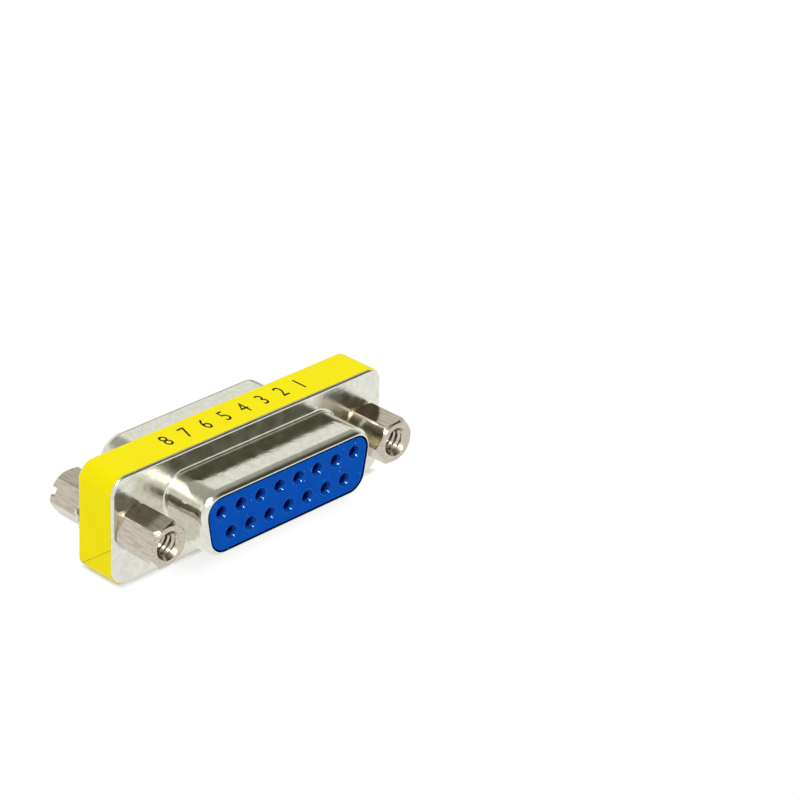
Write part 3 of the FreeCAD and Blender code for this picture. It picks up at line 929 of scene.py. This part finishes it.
def film_layer(sizes, label, layer):
    """One layer of the film as a solid strip: the first goes all round, the second is its lapped end."""
    half = FACE_Y - sizes.rim_bend
    strip = bmesh.new()
    face = pan_outline(strip, sizes, PRINT_THICK - layer * label.thick, -half, steps=10)
    open_up(strip, step_in(strip, face, 0, 2 * half))
    lap_end = Vector((0, label.lap_rear - CENTRE_Z, -half))
    downward = Vector((0, -2 * half, label.lap_front - label.lap_rear)).normalized()
    taper_end = label.lap_top + LAP_TAPER - CENTRE_Z
    if layer == 1:
        # A thin strip of the under layer just below the lap's edge is painted as its shadow
        for drop in (0, LAP_LINE):
            cut(strip, lap_end + drop * downward, downward)
        for face in strip.faces:
            middle = face.calc_center_median()
            if middle.x < 0 and 0 < (middle - lap_end).dot(downward) < LAP_LINE:
                face.material_index = PAINTED_LAP_SHADOW
    else:
        for point, normal in ((lap_end, downward), ((0, taper_end, 0), (0, 1, 0)),
                              ((sizes.flange_corner - sizes.flange_length / 2, 0, 0), (1, 0, 0))):
            cut(strip, point, normal, clear=True)
        for v in strip.verts:
            if v.co.y > taper_end - PRINT_THICK:
                v.co.x += label.thick
    bmesh.ops.recalc_face_normals(strip, faces=strip.faces)
    for face in strip.faces:
        if face.normal.xy.dot(face.calc_center_median().xy) < 0:
            face.normal_flip()
    bmesh.ops.solidify(strip, geom=strip.faces[:], thickness=label.thick)
    bmesh.ops.recalc_face_normals(strip, faces=strip.faces)
    return strip


def printed_numbers(label, mould):
    """Numbers for the contacts of the front's long row, on the label's top face."""
    bm = bmesh.new()
    for x, side in contact_centres(mould):
        if side < 0:
            continue
        text = bpy.data.curves.new("number", "FONT")
        text.body = str(round((mould.long_row + 1) / 2 - x / mould.pitch))
        text.align_x = "CENTER"
        text.align_y = "CENTER"
        text.resolution_u = NUMBER_CURVE_STEPS
        text.extrude = HALF_THICK
        carrier = bpy.data.objects.new("number", text)
        bpy.context.scene.collection.objects.link(carrier)
        flat = evaluated_mesh(carrier)
        heights = [v.co.y for v in flat.vertices]
        scale = label.digit / (max(heights) - min(heights))
        flat.transform(Matrix.Translation((x, 0, BAND_TOP - PRINT_THICK / 2))
                       @ Matrix.Diagonal((scale * NARROW, scale, PRINT_THICK, 1)))
        bm.from_mesh(flat)
        bpy.data.objects.remove(carrier)
        bpy.data.meshes.remove(flat)
        bpy.data.curves.remove(text)
    return bm


class DSUB_OT_label(bpy.types.Operator):
    """Builds the label band with its lapped end, and the numbers printed on it"""

    bl_idname = "dsub.label"
    bl_label = "Build Label"

    def execute(self, context):
        label = context.scene.dsub_label
        band = bmesh.new()
        for layer in (1, 2):
            absorb(band, film_layer(context.scene.dsub_shell, label, layer))
        stand_up(band)
        finished(band, "label_band_film", (printed_film, adhesive_line), "label_yellow", "label_band",
                 merge=0.0)
        numbers = printed_numbers(label, context.scene.dsub_mould)
        finished(numbers, "label_numbers", (printing_ink,), "label_yellow")
        return {"FINISHED"}


class DSUB_OT_inner_pieces(bpy.types.Operator):
    """Gives the contacts and the lock washers their finishes"""

    bl_idname = "dsub.inner_pieces"
    bl_label = "Finish Contacts and Washers"

    def execute(self, context):
        colours = context.scene.dsub_colours
        for name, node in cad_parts.items():
            if name.startswith("contact"):
                maker = gold_flash_on_brass
            elif name.startswith("lock_washer"):
                maker = bright_nickel_on_drawn_steel
            else:
                continue
            node.data.materials.clear()
            node.data.materials.append(finish_material(maker, colours))
        return {"FINISHED"}


# Stage

# The camera stands in front and to the left and looks down; its place comes from the hole centres
CAMERA_PLACE = (-200.19 * MM, -209.44 * MM, 165.97 * MM)
CAMERA_YAW = math.radians(47.167)
CAMERA_PITCH = math.radians(27.553)
CAMERA_ROLL = math.radians(2.447)
CAMERA_LENS = 138.8
SENSOR = 36.0


def place_camera(context):
    """The camera, with its roll, as a level view turned by yaw and pitch and then rolled."""
    forward = Vector((math.sin(CAMERA_YAW) * math.cos(CAMERA_PITCH),
                      math.cos(CAMERA_YAW) * math.cos(CAMERA_PITCH), -math.sin(CAMERA_PITCH)))
    right = Vector((math.cos(CAMERA_YAW), -math.sin(CAMERA_YAW), 0))
    up = right.cross(forward)
    rolled_right = math.cos(CAMERA_ROLL) * right + math.sin(CAMERA_ROLL) * up
    rolled_up = math.cos(CAMERA_ROLL) * up - math.sin(CAMERA_ROLL) * right
    turn = Matrix((rolled_right, rolled_up, -forward)).transposed().to_4x4()
    data = bpy.data.cameras.new("camera")
    data.lens = CAMERA_LENS
    data.sensor_width = SENSOR
    data.clip_start = 0.01
    data.clip_end = 10
    camera = bpy.data.objects.new("camera", data)
    camera.matrix_world = Matrix.Translation(CAMERA_PLACE) @ turn
    context.scene.collection.objects.link(camera)
    context.scene.camera = camera


# Where the floor keeps its shadow: half length and half width of the foot and of the hoods above it,
# how far the shadow fades beside them, and how white the floor is under them
FOOT_AND_HOODS = ((18.4, 2.7, 0.8, 0.2), (10.5, 4.0, 3.5, 0.75))
FLOOR_HALF = 1.5
# How much of what metal sees of the floor is plain white
WHITE_IN_METAL = 0.9


def floor_material(colours):
    """Matt white board that is lit from below, except under the part: to the camera it reads white
    with a narrow soft shadow, and metal reflects it a little shaded."""
    material, tree, shader, place = new_material(
        "matt_board_white", Roughness=0.9, Base_Color=tuple(colours.floor))
    spot = add(tree, "VectorMath", {0: place}, operation="ABSOLUTE")
    shares = []
    for half_x, half_y, reach, under in FOOT_AND_HOODS:
        past = add(tree, "VectorMath", {0: spot, 1: (half_x * MM, half_y * MM, 1.0)}, operation="SUBTRACT")
        outside = add(tree, "VectorMath", {0: past, 1: (0, 0, 0)}, operation="MAXIMUM")
        away = add(tree, "VectorMath", {0: outside}, operation="LENGTH")
        shares.append(add(tree, "MapRange", {"Value": away, "From Max": reach * MM, "To Min": under},
                          interpolation_type="SMOOTHSTEP"))
    glow = add(tree, "Math", {0: shares[0], 1: shares[1]}, operation="MULTIPLY")
    lit = add(tree, "Emission", {"Color": (1, 1, 1, 1), "Strength": 1.0})
    seen = add(tree, "MixShader", {0: glow, 1: shader, 2: lit})
    mirrored = add(tree, "MixShader", {0: WHITE_IN_METAL, 1: shader, 2: lit})
    path = add(tree, "LightPath").outputs
    metal = add(tree, "MixShader", {0: path["Is Glossy Ray"], 1: shader, 2: mirrored})
    final = add(tree, "MixShader", {0: path["Is Camera Ray"], 1: metal, 2: seen})
    connect(tree, tree.nodes["Material Output"], {"Surface": final})
    return material


# What metal sees of the tent: its walls and ceiling by height, the share of that which is left near
# the dark opening and the grey flag by the cosine of the angle to each, and the soft box
WALL_STOPS = [(0.0, (0.95, 0.95, 0.92, 1)), (0.5, (0.92, 0.93, 0.88, 1)), (0.56, (0.8, 0.81, 0.76, 1)),
              (0.68, (0.42, 0.42, 0.37, 1)), (1.0, (0.38, 0.38, 0.33, 1))]
FLAG = (0.65, 0.76, 0.03)
FLAG_STOPS = [(0.955, 1.0), (0.985, 0.3)]
OPENING = (0.65, -0.62, 0.42)
OPENING_STOPS = [(0.75, 1.0), (0.81, 0.85), (0.93, 0.4), (0.955, (0.17, 0.165, 0.13, 1)),
                 (0.985, (0.08, 0.075, 0.045, 1)), (1.0, (0.07, 0.066, 0.036, 1))]
# The opening darkens what lies above the first of these heights, and fully from the second
OPENING_FROM, OPENING_FULL = 0.12, 0.38
SOFT_BOX = (-0.45, -0.45, 0.77)
SOFT_BOX_EDGE, SOFT_BOX_FULL = 0.86, 0.96
SOFT_BOX_BRIGHTNESS = 1.6
# How much the world lights what isn't metal
TENT_LIGHT = 0.75


def studio_world(context):
    """A white tent round the part with a grey ceiling, a soft box, a dark opening at the camera's
    side and a grey flag behind, all for metal to reflect. To the camera the world is plain white."""
    world = bpy.data.worlds.new("studio")
    context.scene.world = world
    world.use_nodes = True
    tree = world.node_tree
    tree.nodes.clear()
    direction = add(tree, "TexCoord").outputs["Generated"]
    height = add(tree, "SeparateXYZ", {"Vector": direction}).outputs["Z"]
    opening, flag, soft_box = (
        add(tree, "VectorMath", {0: direction, 1: Vector(place).normalized()}, operation="DOT_PRODUCT")
        for place in (OPENING, FLAG, SOFT_BOX))
    above = add(tree, "MapRange", {"Value": height, "From Min": OPENING_FROM, "From Max": OPENING_FULL},
                interpolation_type="SMOOTHSTEP")
    dark = add(tree, "Mix", {"Factor": above, "A": (1, 1, 1, 1),
                             "B": add(tree, "ValToRGB", {"Fac": opening}, OPENING_STOPS)}, data_type="RGBA")
    box = add(tree, "MapRange", {"Value": soft_box, "From Min": SOFT_BOX_EDGE, "From Max": SOFT_BOX_FULL,
                                 "To Max": SOFT_BOX_BRIGHTNESS}, interpolation_type="SMOOTHSTEP")
    tent = add(tree, "ValToRGB", {"Fac": height}, WALL_STOPS)
    for layer, blend in ((dark, "MULTIPLY"), (add(tree, "ValToRGB", {"Fac": flag}, FLAG_STOPS), "MULTIPLY"),
                         (box, "ADD")):
        tent = add(tree, "Mix", {"Factor": 1.0, "A": tent, "B": layer}, data_type="RGBA", blend_type=blend)
    mirrored = add(tree, "Background", {"Color": tent, "Strength": 1.0})
    soft = add(tree, "Background", {"Color": (1, 1, 1, 1), "Strength": TENT_LIGHT})
    white = add(tree, "Background", {"Color": (1, 1, 1, 1), "Strength": 1.0})
    path = add(tree, "LightPath").outputs
    glossy = add(tree, "MixShader", {0: path["Is Glossy Ray"], 1: soft, 2: mirrored})
    final = add(tree, "MixShader", {0: path["Is Camera Ray"], 1: glossy, 2: white})
    add(tree, "OutputWorld", {"Surface": final})


# Lamps as (name, place, aim, size, watts); metal doesn't show the soft ones as hard windows, and the
# small ones are there only for their sparks in gloss and metal
SOFT_LAMPS = (("key", (-0.15, -0.1, 0.45), (0, 0, 0), 0.35, 0.5),
              ("fill", (0.1, -0.45, 0.25), (0, 0, 0.005), 0.4, 0.37))
SPARKS = (("spark_above", (-0.17, -0.08, 0.36), (0, 0, 0.006), 0.1, 1.6),
          ("spark_front", (-0.07, -0.33, 0.18), (0, 0, 0.006), 0.07, 0.08))


def lamp(context, name, place, aim, size, watts, spark=False):
    """A square lamp, for the shaded light or for the sparks alone."""
    data = bpy.data.lights.new(name, "AREA")
    data.size = size
    data.energy = watts
    data.use_shadow = not spark
    light = bpy.data.objects.new(name, data)
    light.location = place
    light.rotation_euler = (Vector(aim) - Vector(place)).to_track_quat("-Z", "Y").to_euler()
    light.visible_glossy = spark
    light.visible_diffuse = not spark
    context.scene.collection.objects.link(light)


class DSUB_OT_stage(bpy.types.Operator):
    """Sets the floor, the light, the world and the camera"""

    bl_idname = "dsub.stage"
    bl_label = "Set Stage"

    def execute(self, context):
        bm = bmesh.new()
        bmesh.ops.create_grid(bm, x_segments=1, y_segments=1, size=FLOOR_HALF)
        floor = new_object(bm, "floor")
        floor.data.materials.append(floor_material(context.scene.dsub_colours))
        for settings in SOFT_LAMPS:
            lamp(context, *settings)
        for settings in SPARKS:
            lamp(context, *settings, spark=True)
        studio_world(context)
        place_camera(context)
        context.scene.view_settings.view_transform = "Standard"
        return {"FINISHED"}


class DSUB_PT_panel(bpy.types.Panel):
    """Lists the sizes, the colours and the steps"""

    bl_idname = "DSUB_PT_panel"
    bl_label = "Gender Changer"
    bl_space_type = "VIEW_3D"
    bl_region_type = "UI"
    bl_category = "Gender Changer"

    def draw(self, context):
        for group in GROUPS:
            box = self.layout.box()
            settings = getattr(context.scene, group)
            for name in settings.bl_rna.properties.keys():
                if name not in ("rna_type", "name"):
                    box.prop(settings, name)
        for step in STEPS:
            self.layout.operator(step.bl_idname)


STEPS = (DSUB_OT_shells, DSUB_OT_insulators, DSUB_OT_jacks, DSUB_OT_label, DSUB_OT_inner_pieces,
         DSUB_OT_stage)


def register():
    """Registers the classes and hangs the settings on the scene."""
    for kind in (*GROUPS.values(), *STEPS, DSUB_PT_panel):
        bpy.utils.register_class(kind)
    for name, group in GROUPS.items():
        setattr(bpy.types.Scene, name, PointerProperty(type=group))


def unregister():
    """Removes the settings and the classes."""
    for name in GROUPS:
        delattr(bpy.types.Scene, name)
    for kind in (DSUB_PT_panel, *reversed(STEPS), *reversed(GROUPS.values())):
        bpy.utils.unregister_class(kind)


def main():
    """Builds every piece and the stage."""
    register()
    bpy.ops.dsub.shells()
    bpy.ops.dsub.insulators()
    bpy.ops.dsub.jacks()
    bpy.ops.dsub.label()
    bpy.ops.dsub.inner_pieces()
    bpy.ops.dsub.stage()


if __name__ == "__main__":
    main()
